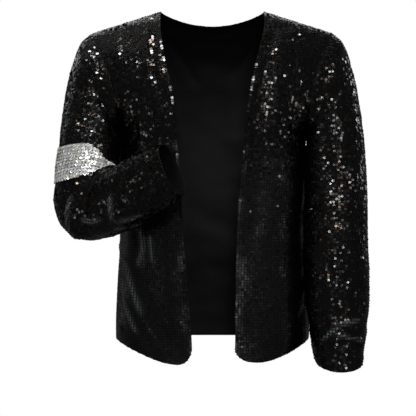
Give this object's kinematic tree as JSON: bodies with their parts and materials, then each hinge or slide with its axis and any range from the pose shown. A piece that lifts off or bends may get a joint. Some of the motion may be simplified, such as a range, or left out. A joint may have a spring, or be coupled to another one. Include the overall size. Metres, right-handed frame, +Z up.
{
  "type": "open-front sequin evening jacket top",
  "caption": "Open-front, collarless sequin jacket with long set-in sleeves, the right forearm raised across the chest, and a silver sleeve band.",
  "frame": {"origin": "on the centre plane, level with the inner ends of the two shoulder seams and 6 mm in front of the line that joins them, where the wearer's shoulders hold the garment", "axes": "+X towards the wearer's left, -Y towards the wearer's front, +Z up"},
  "size_m": [0.567, 0.339, 0.6557],
  "materials": {
    "front_right": "black cloth covered with glossy black sequins",
    "front_left": "black cloth covered with glossy black sequins",
    "back": "black cloth covered with glossy black sequins",
    "sleeve_right": "black cloth covered with glossy black sequins",
    "sleeve_left": "black cloth covered with glossy black sequins",
    "sleeve_band": "cloth covered with silver sequins"
  },
  "bodies": {
    "root": {"front_right": "front_right", "front_left": "front_left", "back": "back", "sleeve_right": "sleeve_right", "sleeve_left": "sleeve_left", "sleeve_band": "sleeve_band"}
  },
  "joints": []
}
